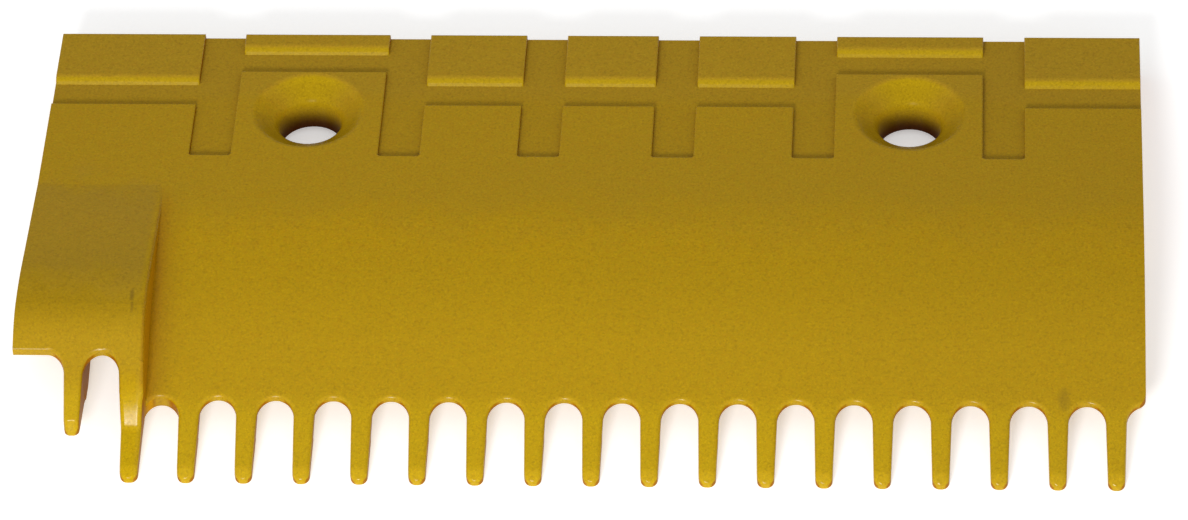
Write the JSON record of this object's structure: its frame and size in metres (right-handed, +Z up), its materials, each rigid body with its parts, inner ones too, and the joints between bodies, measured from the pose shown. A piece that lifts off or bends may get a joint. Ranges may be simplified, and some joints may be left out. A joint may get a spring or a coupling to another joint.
{
  "type": "escalator comb plate",
  "caption": "Flat plastic comb plate with a row of blunt teeth along its sloping front, a raised block at one end, countersunk screw holes and a slotted back edge.",
  "frame": {"origin": "midpoint between the axes of the two screw holes, on the flat mounting face underneath", "axes": "+X along the comb towards the end without the raised block, +Y from the teeth towards the back edge, +Z up out of the walking surface along the screw axes"},
  "size_m": [0.1775, 0.0902, 0.0171],
  "materials": {
    "yellow_plastic": "satin moulded yellow plastic, slightly scuffed"
  },
  "bodies": {
    "root": {"comb_plate": "yellow_plastic"}
  },
  "joints": []
}
